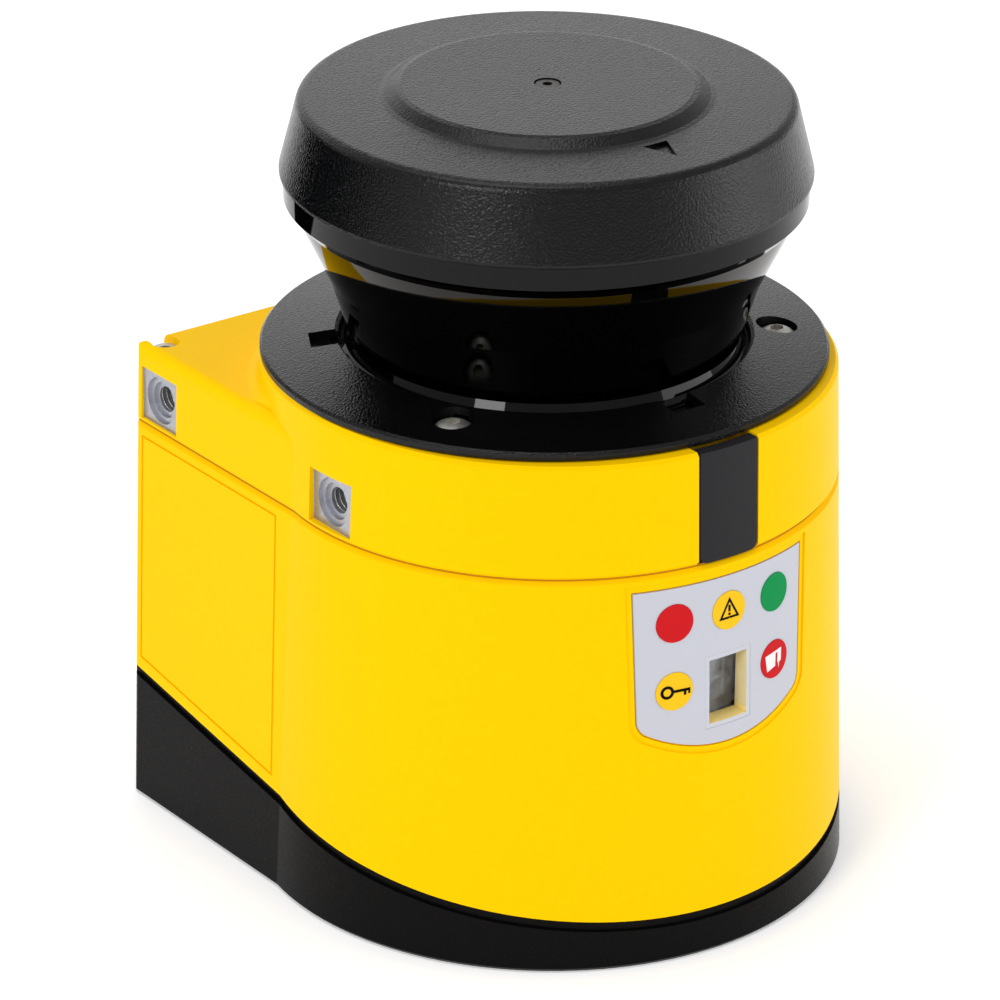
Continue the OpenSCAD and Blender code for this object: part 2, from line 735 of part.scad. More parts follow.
// The 45 degree plane through the middle of the mirror, lifted along its normal
module behind_mirror(lift)
  translate([0, 0, scan_z]) rotate([-45, 0, 0]) translate([-30, -60, lift]) cube([60, 120, 60]);

module mirror_carrier() color("#2a2a2c") difference() {
  union() {
    intersection() {
      translate([0, 0, 99]) cylinder(h = 28, r = 14);
      behind_mirror(1.6);
    }
    translate([0, 0, 126]) cylinder(h = 2.3, r = 6);
  }
  translate([0, 0, 123]) cylinder(h = 6, r = 2);
}

module scan_mirror() color("#dfe4e8") intersection() {
  translate([0, 0, 99]) cylinder(h = 28.6, r = 13);
  difference() {
    behind_mirror(0);
    behind_mirror(1.6);
  }
}

// Outer profile of the cap, from the centre of its raised disc to its lower edge
module head_cap() color("#3b3b3c") difference() {
  rotate_extrude() difference() {
    polygon(concat(
      [[0, cap_floor_z], [0, head_top_z], [26.7, head_top_z], [27.7, head_top_z - 0.25],
       [29.7, head_top_z - 1.6], [30.7, head_top_z - 1.85]],
      [for (a = [88, 74, 60, 46, 32, 18]) [43.9 + 2 * cos(a), head_top_z - 4.2 + 2 * sin(a)]],
      [[cap_r, band_z + 0.9], [cap_r, band_z + 0.4], [cap_r - 0.4, band_z],
       [43.9, band_z], [43.9, cap_floor_z]]));
    translate([cover_r - 2.3, band_z - 0.1]) square([1.4, 1.1]);
  }
  // arrow pocket that points to the front
  translate([0, 0, head_top_z - 2.6]) linear_extrude(3)
    polygon([[0, -38.2], [2.7, -31.7], [-2.7, -31.7]]);
  translate([0, 0, head_top_z - 1.4]) cylinder(h = 3, r = 2.5);
  translate([0, 0, cap_floor_z - 1]) cylinder(h = 6, r = 1.35);
}

module cap_seal() color("#1a1a1a") rotate_extrude()
  translate([cover_r - 2.3, band_z]) square([1.4, 1]);

module cap_screw() color("silver") difference() {
  union() {
    translate([0, 0, head_top_z - 1.4]) cylinder(h = 1.2, r = 2.2);
    translate([0, 0, cap_floor_z - 3]) cylinder(h = head_top_z - 1.4 - cap_floor_z + 3, r = 1.25);
  }
  translate([0, 0, head_top_z - 1]) cylinder(h = 2, r = 1, $fn = 6);
}

connector_base();
base_gasket();
base_screws();
cable_plugs();
terminal_board();
terminal_block();
system_plug();
system_header();
lower_housing();
housing_gasket();
upper_housing();
housing_screws();
display_foil();
display_window();
display_module();
display_board();
red_lens();
warning_lens();
green_lens();
restart_lens();
soiling_lens();
interface_cover();
interface_socket();
main_board();
processor_chips();
power_module();
optics_chassis();
chassis_screws();
receiver_lens();
laser_module();
receiver_board();
receiver_diode();
dust_sensors();
clamp_ring();
ring_screws();
optics_cover();
optics_seal();
motor_bracket();
motor_housing();
motor_stator();
motor_bearings();
motor_shaft();
rotor_magnet();
encoder_disc();
encoder_sensor();
mirror_carrier();
scan_mirror();
head_cap();
cap_seal();
cap_screw();
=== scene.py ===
# %% [markdown]
# # A safety laser scanner
#
# A safety laser scanner guards the floor in front of a machine. Its yellow housing is
# die-cast and painted, its head is a smoked window under a black cap, and its foot is a
# moulded black base. The solids come packed from the part's source. This lesson gives
# them their finishes, prints the signs on the indicator lenses, and lights the set.

import json
import math

import bpy
from mathutils import Matrix, Vector
from mathutils.bvhtree import BVHTree

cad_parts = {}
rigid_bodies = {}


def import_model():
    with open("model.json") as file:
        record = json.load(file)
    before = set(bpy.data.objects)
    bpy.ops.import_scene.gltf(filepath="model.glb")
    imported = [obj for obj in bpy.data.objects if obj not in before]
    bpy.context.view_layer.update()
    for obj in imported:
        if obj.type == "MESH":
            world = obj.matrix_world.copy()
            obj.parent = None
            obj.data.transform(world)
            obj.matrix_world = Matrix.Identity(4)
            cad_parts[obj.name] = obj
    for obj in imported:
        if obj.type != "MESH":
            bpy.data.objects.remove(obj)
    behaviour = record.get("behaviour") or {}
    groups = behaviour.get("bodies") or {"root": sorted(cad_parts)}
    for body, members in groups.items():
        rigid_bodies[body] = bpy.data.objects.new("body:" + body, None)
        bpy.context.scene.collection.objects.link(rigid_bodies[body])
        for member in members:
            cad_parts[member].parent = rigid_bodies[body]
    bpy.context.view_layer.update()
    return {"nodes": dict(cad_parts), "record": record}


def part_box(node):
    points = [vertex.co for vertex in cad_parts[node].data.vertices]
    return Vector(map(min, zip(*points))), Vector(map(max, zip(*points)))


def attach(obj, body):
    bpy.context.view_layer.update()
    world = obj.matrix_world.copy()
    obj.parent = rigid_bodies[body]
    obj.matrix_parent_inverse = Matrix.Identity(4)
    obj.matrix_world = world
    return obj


for leftover in list(bpy.data.objects):
    bpy.data.objects.remove(leftover)

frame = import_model()
nodes = frame["nodes"]
record = frame["record"]
MM = 0.001

print("nodes:", len(nodes))

# %% [markdown]
# ## Colour and nodes
#
# A paint maker or a moulder gives a colour as it looks on a screen, in sRGB. Blender
# computes in linear light, so one function turns the hex code into linear values. A second
# one adds a node, sets it up and links it, and a third one links into the shader. With
# them each recipe below is only a few lines long.

# %% Three helpers
def linear(code):
    """An sRGB hex colour as linear RGBA."""
    parts = [int(code[i : i + 2], 16) / 255 for i in (0, 2, 4)]
    return [p / 12.92 if p <= 0.04045 else ((p + 0.055) / 1.055) ** 2.4 for p in parts] + [1.0]


def add(tree, kind, sockets=None, **settings):
    """A new node with its settings; a socket takes a value, or the output linked to it."""
    node = tree.nodes.new(kind)
    for name, value in settings.items():
        setattr(node, name, value)
    for name, value in (sockets or {}).items():
        if isinstance(value, bpy.types.NodeSocket):
            tree.links.new(value, node.inputs[name])
        else:
            node.inputs[name].default_value = value
    return node


def connect(shader, **outputs):
    """Links outputs of other nodes into the shader's sockets of these names."""
    for name, output in outputs.items():
        shader.id_data.links.new(output, shader.inputs[name.replace("_", " ")])


# A Mix node keeps its sockets for numbers and vectors in front of those for colours.
COLOUR_A, COLOUR_B, COLOUR_OUT = 6, 7, 2

print("yellow in linear light:", [round(v, 3) for v in linear("FFC700")[:3]])

# %% [markdown]
# ## The start of every finish
#
# Each finish is one Principled shader. Most surfaces also have a grain: paint dries with a
# faint orange peel, and a mould leaves its spark-eroded texture. A noise with cells of a
# real size, read in object coordinates, gives both the relief and a slight unevenness of
# gloss, so that no surface is dead flat.

# %% A finish with grain
NOISE_LOW, NOISE_HIGH = 0.3, 0.7  # a noise hardly ever leaves this range


def start_finish(name, **sockets):
    """A material with one Principled shader, and the point on the object that it shades."""
    material = bpy.data.materials.new(name)
    material.use_nodes = True
    tree = material.node_tree
    tree.nodes.clear()
    place = add(tree, "ShaderNodeTexCoord").outputs["Object"]
    shader = add(tree, "ShaderNodeBsdfPrincipled",
                 {socket.replace("_", " "): value for socket, value in sockets.items()})
    add(tree, "ShaderNodeOutputMaterial", {"Surface": shader.outputs["BSDF"]})
    return material, tree, shader, place


def grain(tree, shader, place, cell_mm, depth_mm, rough, spread=0.06):
    """Relief with cells of a real size, and a gloss that varies a little with it."""
    cells = add(tree, "ShaderNodeTexNoise", {
        "Vector": place, "Scale": 1 / (cell_mm * MM), "Detail": 2.0}).outputs["Fac"]
    relief = add(tree, "ShaderNodeBump", {"Height": cells, "Distance": depth_mm * MM})
    gloss = add(tree, "ShaderNodeMapRange", {
        "Value": cells, "From Min": NOISE_LOW, "From Max": NOISE_HIGH,
        "To Min": rough - spread, "To Max": rough + spread})
    connect(shader, Normal=relief.outputs["Normal"], Roughness=gloss.outputs["Result"])
    return cells


finishes = {}
print("noise scale of a 1 mm grain:", 1 / MM)

# %% [markdown]
# ## Where the castings are bare
#
# The two shells are cast, sprayed with a yellow machine enamel and then machined where a
# bracket is bolted on. The cut faces are bare aluminium. The mount table in the record says
# where the threads are, so the same paint recipe can leave those places bare: a mask is one
# inside a box around each pad or bore, and zero elsewhere.

# %% Masks for the machined places
PAD_HALF_Y, PAD_HALF_Z = 5.9, 5.35  # half of a milled pad on the flank, in mm
PAD_MARGIN = 1.55  # from the end of a flank thread to the end of its box
BORE_HALF, BORE_HALF_DEPTH = 2.3, 5.2  # half of the box round a rear thread
BORE_MIDDLE = 5.0  # from the rear face to the middle of that box


def combined(tree, masks, operation):
    """Several masks made one: MULTIPLY asks for all of them, MAXIMUM for any."""
    result = masks[0]
    for mask in masks[1:]:
        result = add(tree, "ShaderNodeMath", {0: result, 1: mask}, operation=operation).outputs[0]
    return result


def inside_box(tree, axes, centre_mm, half_mm):
    """One inside a box given by its centre and half sizes, zero outside."""
    return combined(tree, [
        add(tree, "ShaderNodeMath", {0: axis, 1: middle * MM, 2: half * MM},
            operation="COMPARE").outputs[0]
        for axis, middle, half in zip(axes, centre_mm, half_mm)], "MULTIPLY")


def bare_places():
    """Boxes that the machining left bare, mirrored in X: (centre, half sizes) in mm."""
    boxes = []
    for mount in record["mounts"]:
        x, y, z = [v / MM for v in mount["pos_m"]]
        dims = mount["dims"]
        if mount["kind"] == "threaded_hole" and x > 0:
            half_length = dims["length_mm"] / 2 + PAD_MARGIN
            boxes.append(((x, y, z), (half_length, PAD_HALF_Y, PAD_HALF_Z)))
        if mount["kind"] == "bolt_pattern":
            for side in (-0.5, 0.5):
                height = z + side * dims["spacing_y_mm"]
                boxes.append(((dims["spacing_x_mm"] / 2, y - BORE_MIDDLE, height),
                              (BORE_HALF, BORE_HALF_DEPTH, BORE_HALF)))
    return boxes


print("bare places on each side:", len(bare_places()))

# %% [markdown]
# ## The yellow enamel
#
# Machine enamel is sprayed on in two coats and dries to an even satin. Two yellows close
# together follow the orange peel, as a thicker film looks a little deeper. Where the mask
# is one, the colour changes to milled aluminium and the surface turns metallic.

# %% Enamel with bare faces
MILLING_MARK = 0.5  # mm between the marks of the cutter
BARE_METALLIC = 0.75  # a milled face also scatters some light, so it isn't quite a full metal


def yellow_enamel():
    # Sprayed two-pack enamel on a casting: a clean satin yellow with a soft, wide sheen.
    material, tree, shader, place = start_finish(
        "cast_aluminium_yellow_enamel", IOR=1.5, Specular_IOR_Level=0.02)
    peel = grain(tree, shader, place, cell_mm=1.6, depth_mm=0.012, rough=0.34, spread=0.03)
    paint = add(tree, "ShaderNodeMix", {
        "Factor": peel, COLOUR_A: linear("FFC700"), COLOUR_B: linear("FFCC02")},
        data_type="RGBA")
    axis = add(tree, "ShaderNodeSeparateXYZ", {"Vector": place}).outputs
    across = add(tree, "ShaderNodeMath", {0: axis["X"]}, operation="ABSOLUTE").outputs[0]
    bare = combined(tree, [
        inside_box(tree, (across, axis["Y"], axis["Z"]), centre, half)
        for centre, half in bare_places()], "MAXIMUM")
    cut = add(tree, "ShaderNodeTexNoise", {
        "Vector": place, "Scale": 1 / (MILLING_MARK * MM), "Detail": 1.0})
    metal_cut = add(tree, "ShaderNodeMix", {
        "Factor": cut.outputs["Fac"], COLOUR_A: linear("A2A4AC"), COLOUR_B: linear("C4C6CE")},
        data_type="RGBA")
    colour = add(tree, "ShaderNodeMix", {
        "Factor": bare, COLOUR_A: paint.outputs[COLOUR_OUT],
        COLOUR_B: metal_cut.outputs[COLOUR_OUT]}, data_type="RGBA")
    metallic = add(tree, "ShaderNodeMath", {0: bare, 1: BARE_METALLIC}, operation="MULTIPLY")
    connect(shader, Base_Color=colour.outputs[COLOUR_OUT], Metallic=metallic.outputs[0])
    return material


finishes["yellow_paint"] = yellow_enamel()
print("nodes in the enamel:", len(finishes["yellow_paint"].node_tree.nodes))

# %% [markdown]
# ## Moulded plastics and rubbers
#
# The cap, the ring, the base and the connectors are moulded. What tells them apart is the
# mould's surface: coarse spark erosion on the head, a finer one on the base, and almost a
# polish on small electrical parts. One recipe takes the colour, the gloss and the size of
# the mould's grain. Rubbers are the same with more roughness and less shine.

# %% The recipe for a moulded surface
def darker(code, share):
    """A hex colour in linear light, brought down to this share of its brightness."""
    return [v * share for v in linear(code)[:3]] + [1.0]


def moulded(name, code, rough, cell_mm, depth_mm, dark=0.86, sheen=0.3):
    """A moulded plastic with painted shade: the valleys of its grain are drawn darker."""
    material, tree, shader, place = start_finish(name, IOR=1.5, Specular_IOR_Level=sheen)
    cells = grain(tree, shader, place, cell_mm, depth_mm, rough)
    # Painted shade: the grain's valleys are drawn at the share dark of the colour.
    shade = add(tree, "ShaderNodeMix", {
        "Factor": cells, COLOUR_A: darker(code, dark), COLOUR_B: linear(code)},
        data_type="RGBA")
    connect(shader, Base_Color=shade.outputs[COLOUR_OUT])
    return material


# The painted shade in a valley of the black grain, in linear light.
print("a valley of the black grain:", [round(v, 4) for v in darker("08080A", 0.5)[:3]])

# %% [markdown]
# Each line below gives the colour, the roughness, the size of the grain's cells and the
# depth of its relief, both in millimetres. A spark-eroded grain is really some 0.2 mm wide.
# On the cap it is drawn about twice as coarse, so that it still shows from a metre away.

# %% The scanner's plastics and rubbers
# Glass-filled polyamide, spark-eroded: each grain catches the light, so the black looks grey.
# Painted shade halves the colour in the grain's valleys.
finishes["black_texture"] = moulded("polyamide_spark_eroded", "08080A", 0.2, 0.45, 0.13,
                                    dark=0.5, sheen=0.28)
# The same polyamide from a finer mould: a darker, silkier black.
finishes["base_plastic"] = moulded("polyamide_fine_grain", "0C0C0D", 0.26, 0.5, 0.006, sheen=0.05)
# Thermoplastic elastomer with a coarse leather-like mould texture that hides finger marks.
finishes["cover_rubber"] = moulded("elastomer_coarse_grain", "1F1F22", 0.55, 0.75, 0.05,
                                   dark=0.7, sheen=0.2)
# Black EPDM, calendered and cut: dull, with hardly a highlight.
finishes["seal_rubber"] = moulded("epdm_rubber", "1A1A1A", 0.8, 0.6, 0.01)
# Painted shade: the seal is drawn in a deep ochre, the shaded gap between the yellow shells, so
# that the joint stays quiet.
seam_shade_seal = moulded("painted_seam_shade_ochre", "C08A08", 0.6, 0.6, 0.01, sheen=0.1)
# Polyamide cable plugs with a fine matt mould surface.
finishes["plug_plastic"] = moulded("polyamide_plug", "1D1D1E", 0.5, 0.4, 0.008)
# PBT of terminal blocks and pin headers: opaque, evenly coloured and satin.
finishes["terminal_plastic"] = moulded("pbt_green", "3D6A4B", 0.42, 0.8, 0.003)
finishes["connector_black"] = moulded("pbt_black", "202021", 0.4, 0.8, 0.003)
finishes["connector_ivory"] = moulded("pbt_ivory", "D8D3C4", 0.4, 0.8, 0.003)
# Filled epoxy of chip packages: dead matt with a sandy grain.
finishes["chip_epoxy"] = moulded("filled_epoxy", "19191B", 0.65, 0.15, 0.01)
# Carbon-filled polycarbonate that carries the mirror, kept dark against stray light.
finishes["carrier_plastic"] = moulded("polycarbonate_carbon_filled", "29292B", 0.5, 0.5, 0.006)
# Sintered ferrite, ground flat: a dark grey ceramic with small pits.
finishes["magnet_ferrite"] = moulded("sintered_ferrite", "38393B", 0.6, 0.3, 0.02)
print("finishes so far:", len(finishes))

# %% [markdown]
# ## Metals
#
# Screws are cold-headed and tumbled, housings of small motors are turned, bearing parts are
# ground, and the optics chassis is cast. A metal keeps the default IOR; its colour is what it
# mirrors, and its grain says which tool made the surface. Turned parts get fine rings round
# the upright axis, from the distance to that axis.

# %% The recipes for a metal
WAVE_RADIANS = 20  # a Wave texture runs through this angle for each unit of its vector
# Painted shade: a metal's low spots are drawn at this share of its colour.
VALLEY_SHADE = 0.85  # brightness of a metal's low spots
RING_DEPTH = 0.01  # mm
RING_GLOSS = 0.05  # how far the rings move the roughness


def metal(name, code, rough, cell_mm, depth_mm, spread=0.08):
    """A bare or plated metal with a grain of a real size, and painted shade in its valleys."""
    material, tree, shader, place = start_finish(name, Metallic=1.0)
    cells = grain(tree, shader, place, cell_mm, depth_mm, rough, spread)
    shade = add(tree, "ShaderNodeMix", {
        "Factor": cells, COLOUR_A: darker(code, VALLEY_SHADE), COLOUR_B: linear(code)},
        data_type="RGBA")
    connect(shader, Base_Color=shade.outputs[COLOUR_OUT])
    return material


def turned(name, code, rough, feed_mm):
    """A turned metal: rings round the upright axis, six times as wide as the real feed."""
    material, tree, shader, place = start_finish(name, Metallic=1.0, Base_Color=linear(code))
    rings = add(tree, "ShaderNodeTexWave", {
        "Vector": place, "Scale": 1 / (feed_mm * MM) / WAVE_RADIANS},
        wave_type="RINGS", rings_direction="Z").outputs["Fac"]
    relief = add(tree, "ShaderNodeBump", {"Height": rings, "Distance": RING_DEPTH * MM})
    gloss = add(tree, "ShaderNodeMapRange", {
        "Value": rings, "To Min": rough - RING_GLOSS, "To Max": rough + RING_GLOSS})
    connect(shader, Normal=relief.outputs["Normal"], Roughness=gloss.outputs["Result"])
    return material


print("a turn of the wave at 0.3 mm feed, in mm:", round(2 * math.pi * 0.3, 2))

# %% [markdown]
# The numbers again are colour, roughness, grain and depth; a turned part gives the lathe's
# feed instead. The real rings are too fine to show, so they are drawn six times as wide.

# %% The scanner's metals
# Stainless steel, cold-headed and tumbled: soft, slightly worn highlights.
finishes["stainless_screw"] = metal("stainless_steel_tumbled", "D6D3CC", 0.52, 0.9, 0.01)
# Steel with a clear zinc plate: a little bluer and duller.
finishes["zinc_screw"] = metal("steel_zinc_plated", "BFC2C4", 0.34, 0.6, 0.01)
# Blackened steel under a film of oil.
finishes["black_screw"] = metal("steel_blackened", "4A4845", 0.4, 0.4, 0.01)
# Pressure-cast aluminium, left as it leaves the die: pale, matt and slightly uneven.
finishes["cast_chassis"] = metal("aluminium_as_cast", "B2B4B6", 0.5, 1.2, 0.03)
# Drawn aluminium sheet of a screening can: smooth, with long soft reflections.
finishes["module_can"] = metal("aluminium_drawn_can", "BDBFC1", 0.35, 1.5, 0.01)
# Turned aluminium, brass and gold-flashed brass: rings from the lathe's feed.
finishes["motor_can"] = turned("aluminium_turned", "BFC1C3", 0.28, 0.3)
finishes["laser_barrel"] = turned("brass_turned", "C9AE6A", 0.25, 0.25)
finishes["diode_can"] = turned("gold_flashed_can", "D6B86C", 0.25, 0.25)
# Nickel on brass: a warm, bright plating.
finishes["nickel_brass"] = metal("brass_nickel_plated", "C8C4B8", 0.25, 0.5, 0.005)
# Ground bearing steel: a fine, bright finish.
finishes["bearing_steel"] = metal("bearing_steel_ground", "D3D5D7", 0.16, 0.4, 0.003, spread=0.04)
# Etched steel foil of the encoder disc: flat and evenly bright.
finishes["encoder_metal"] = metal("steel_foil_etched", "C9CBCD", 0.3, 0.6, 0.003)
print("finishes so far:", len(finishes))

# %% [markdown]
# ## Windings and circuit boards
#
# The stator is wound with lacquered copper wire, which a wave along the upright axis draws
# as turns, with painted shade in the dark bands between them. The boards are glass-epoxy
# under a green solder mask. Copper islands under the mask look paler than the bare
# glass-epoxy, and a cell pattern with straight edges suggests them.

# %% Copper and boards
WIRE = 0.5  # mm; the wave draws each turn six times as wide, so that it shows
WIRE_RELIEF = 0.2  # mm
ISLAND = 3.0  # mm between islands of copper
ISLAND_EDGE = 0.42  # share of that distance at which an island ends


def copper_winding():
    # Enamelled copper wire: warm, glossy turns, with painted shade in the grooves between them.
    material, tree, shader, place = start_finish(
        "enamelled_copper_wire", Metallic=0.9, Roughness=0.3)
    turns = add(tree, "ShaderNodeTexWave", {
        "Vector": place, "Scale": 1 / (WIRE * MM) / WAVE_RADIANS},
        bands_direction="Z").outputs["Fac"]
    # Painted shade: the wave's low bands, the grooves between the wires, are drawn dark brown.
    shade = add(tree, "ShaderNodeMix", {
        "Factor": turns, COLOUR_A: linear("5E2B12"), COLOUR_B: linear("B4642F")},
        data_type="RGBA")
    relief = add(tree, "ShaderNodeBump", {"Height": turns, "Distance": WIRE_RELIEF * MM})
    connect(shader, Base_Color=shade.outputs[COLOUR_OUT], Normal=relief.outputs["Normal"])
    return material


def circuit_board():
    # Glass epoxy under solder mask: green, paler over the copper and darker between.
    material, tree, shader, place = start_finish(
        "glass_epoxy_solder_mask", Roughness=0.35, IOR=1.52)
    islands = add(tree, "ShaderNodeTexVoronoi", {
        "Vector": place, "Scale": 1 / (ISLAND * MM)}, distance="CHEBYCHEV")
    between = add(tree, "ShaderNodeMath", {0: islands.outputs["Distance"], 1: ISLAND_EDGE},
                  operation="GREATER_THAN")
    shade = add(tree, "ShaderNodeMix", {
        "Factor": between.outputs[0], COLOUR_A: linear("2A7A4C"), COLOUR_B: linear("164A2C")},
        data_type="RGBA")
    connect(shader, Base_Color=shade.outputs[COLOUR_OUT])
    return material


finishes["copper_stator"] = copper_winding()
finishes["circuit_board"] = circuit_board()
print("finishes so far:", len(finishes))

# %% [markdown]
# ## The optics cover
#
# The head's window is polycarbonate dyed so that infrared passes and visible light does
# not. The eye sees a deep, polished black that mirrors the room. A smooth, nearly black
# body gives that look, with a very long, faint waviness from moulding. Lenses are as
# smooth, so the same waviness, shorter and fainter, serves the clear parts too.

# %% Smoked window, mirror and lenses
def waviness(tree, shader, place, length_mm, depth_mm):
    """The long, faint waves of a polished mould."""
    wave = add(tree, "ShaderNodeTexNoise", {
        "Vector": place, "Scale": 1 / (length_mm * MM), "Detail": 0.0})
    relief = add(tree, "ShaderNodeBump", {
        "Height": wave.outputs["Fac"], "Distance": depth_mm * MM})
    connect(shader, Normal=relief.outputs["Normal"])


def smoked_window():
    # Infrared-clear polycarbonate, polished mould: black to the eye, mirror-smooth.
    material, tree, shader, place = start_finish(
        "polycarbonate_infrared_clear", IOR=1.5, Base_Color=linear("010101"), Roughness=0.03,
        Specular_IOR_Level=0.2)
    waviness(tree, shader, place, length_mm=18, depth_mm=0.05)
    return material


def clear_part(name, code, rough, ior, passing):
    """A clear or milky part: part of the light passes, and faint flow lines bend it."""
    material, tree, shader, place = start_finish(
        name, IOR=ior, Base_Color=linear(code), Roughness=rough, Transmission_Weight=passing)
    waviness(tree, shader, place, length_mm=6, depth_mm=0.01)
    return material


finishes["smoked_window"] = smoked_window()
# Ground and coated optical glass of the receiving lens: clear, with a cool cast.
finishes["optical_glass"] = clear_part("optical_glass", "DCE8EE", 0.02, 1.52, 0.95)
# Clear epoxy domes of the dust sensors: glassy drops, slightly milky.
finishes["sensor_lens"] = clear_part("clear_epoxy", "D9DDE0", 0.06, 1.53, 0.6)
# Front-coated mirror: silver under a hard clear film, with no grain to see.
finishes["mirror_coating"] = metal("silver_front_coating", "E6EAEE", 0.05, 2.0, 0.0005,
                                   spread=0.01)
print("finishes so far:", len(finishes))

# %% [markdown]
# ## The display panel
#
# A grey polyester foil lies in a recess of the drum. Five round windows in it light up,
# and each is tinted from behind, so it looks like an even, flat disc of colour. All of
# them are moulded or printed, so the recipe for moulded parts makes them, with a relief so
# faint that only the gloss shows it.

# %% Foil, lenses and inks
# Polyester foil printed on its back: an even, cool grey.
finishes["grey_foil"] = moulded("polyester_foil", "C3C5CF", 0.4, 0.5, 0.002, dark=0.97)
# Tinted polycarbonate, frosted on the inside: flat discs of colour.
for colour, code, dark in (("red", "CB1A20", 0.96), ("amber", "F5C31E", 0.97),
                           ("green", "048E4B", 0.96)):
    finishes[colour + "_plastic"] = moulded("tinted_polycarbonate_" + colour, code, 0.45, 2.0,
                                            0.002, dark=dark, sheen=0.06)
# Screen-printed signs: a flat, dull ink.
ink_black = moulded("printing_ink_black", "0B0805", 0.5, 0.3, 0.001, sheen=0.05)
ink_white = moulded("printing_ink_white", "F0EEEC", 0.45, 0.3, 0.001, dark=0.97)
print("finishes so far:", len(finishes))

# %% [markdown]
# ## The tray in front of the digit
#
# The display sits behind a clear tray whose walls are drawn in the yellow around them, painted
# light of the housing that shines through; only the pane in front of the digit is really
# clear. Masks tell the tray's places apart: the depth marks the pane, the height marks the
# lower wall, and the way a face looks marks the rim.

# %% A clear tray
PANE_MARGIN = 1.5  # mm; the pane lies within this of the tray's back
LOWER_WALL = 0.6  # mm; the lower wall reaches this far above the display's lower edge
RIM_FACING = -0.6  # a face whose normal is below this in Y looks to the front
FLOW = 2.5  # mm between the flow lines
# The pane passes less light on the left, which paints that side paler.
CLEAR_LEFT, CLEAR_RIGHT = 0.9, 1.15  # how much light the pane lets pass
STREAK = -0.5  # how much of that the flow lines take away


def display_tray():
    # Clear acrylic: the walls are drawn in painted light, the yellow of the housing behind
    # them, paler on the lower wall; the rim carries the foil's grey print, and the pane over the
    # digit is clear with a slight haze, painted paler on the left.
    material, tree, shader, place = start_finish("acrylic_clear_tray", IOR=1.49, Roughness=0.25)
    axis = add(tree, "ShaderNodeSeparateXYZ", {"Vector": place}).outputs
    normal = add(tree, "ShaderNodeTexCoord").outputs["Normal"]
    facing = add(tree, "ShaderNodeSeparateXYZ", {"Vector": normal}).outputs["Y"]
    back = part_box("display_window")[1].y
    low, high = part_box("display_module")
    lower = add(tree, "ShaderNodeMath", {0: axis["Z"], 1: low.z + LOWER_WALL * MM},
                operation="LESS_THAN").outputs[0]
    rim = add(tree, "ShaderNodeMath", {0: facing, 1: RIM_FACING},
              operation="LESS_THAN").outputs[0]
    pane = add(tree, "ShaderNodeMath", {0: axis["Y"], 1: back - PANE_MARGIN * MM},
               operation="GREATER_THAN").outputs[0]
    flow = add(tree, "ShaderNodeTexNoise", {
        "Vector": place, "Scale": 1 / (FLOW * MM), "Detail": 1.0}).outputs["Fac"]
    # Painted light: the walls are drawn in the yellow of the housing that shines through them.
    colour = add(tree, "ShaderNodeMix", {
        "Factor": flow, COLOUR_A: linear("E6D49A"), COLOUR_B: linear("F6E6B4")},
        data_type="RGBA").outputs[COLOUR_OUT]
    # Painted light: the lower wall is drawn a paler yellow.
    for mask, code in ((lower, "FFE694"), (rim, "C3C5CF"), (pane, "D8DEE8")):
        colour = add(tree, "ShaderNodeMix", {
            "Factor": mask, COLOUR_A: colour, COLOUR_B: linear(code)},
            data_type="RGBA").outputs[COLOUR_OUT]
    # Painted light: the pane is drawn milkier, and so paler, on the left, and clearer to the
    # right; the flow lines streak it.
    across = add(tree, "ShaderNodeMapRange", {
        "Value": axis["X"], "From Min": low.x, "From Max": high.x,
        "To Min": CLEAR_LEFT, "To Max": CLEAR_RIGHT})
    clear = add(tree, "ShaderNodeMath", {0: flow, 1: STREAK, 2: across.outputs["Result"]},
                operation="MULTIPLY_ADD")
    passing = add(tree, "ShaderNodeMath", {0: pane, 1: clear.outputs[0]}, operation="MULTIPLY")
    connect(shader, Base_Color=colour, Transmission_Weight=passing.outputs[0])
    return material


finishes["clear_window"] = display_tray()
print("nodes in the tray's finish:", len(finishes["clear_window"].node_tree.nodes))

# %% [markdown]
# ## The face behind the pane
#
# The seven-segment display is a block of tinted epoxy. Switched off, it is a dark grey face.
# Soft spots in two greys stand for the light guides below the surface, which is enough
# behind a hazy pane.

# %% The display's face
LIGHT_GUIDE = 2.2  # mm between the soft spots


def display_face():
    # Tinted epoxy over a digit that is off: a dark grey face, mottled by its light guides.
    material, tree, shader, place = start_finish("tinted_epoxy_face", IOR=1.52, Roughness=0.3)
    spots = add(tree, "ShaderNodeTexNoise", {
        "Vector": place, "Scale": 1 / (LIGHT_GUIDE * MM), "Detail": 2.0})
    shade = add(tree, "ShaderNodeMix", {
        "Factor": spots.outputs["Fac"], COLOUR_A: linear("4A4C50"), COLOUR_B: linear("8A8C8E")},
        data_type="RGBA")
    connect(shader, Base_Color=shade.outputs[COLOUR_OUT])
    return material


finishes["digit_module"] = display_face()
print("finishes:", len(finishes))

# %% [markdown]
# ## Finishes onto the solids
#
# The record names a material slot for each node. A CAD node keeps its shape and place; only
# the material in its slots changes, so the loop below is all that the frame needs. One seal
# has its own finish, a painted shade: it shows as a line between the two yellow shells, and
# is drawn in the ochre of that shaded gap.

# %% Give each node its finish
slot_of = {part["node"]: part["material_slot"] for part in record["subparts"]}
for name, solid in nodes.items():
    # The housing's seal takes the painted shade of the seam.
    finish = seam_shade_seal if name == "housing_gasket" else finishes[slot_of[name]]
    for material_slot in solid.material_slots:
        material_slot.material = finish

print("finished nodes:", len(nodes), "with", len(set(slot_of.values())), "slots")

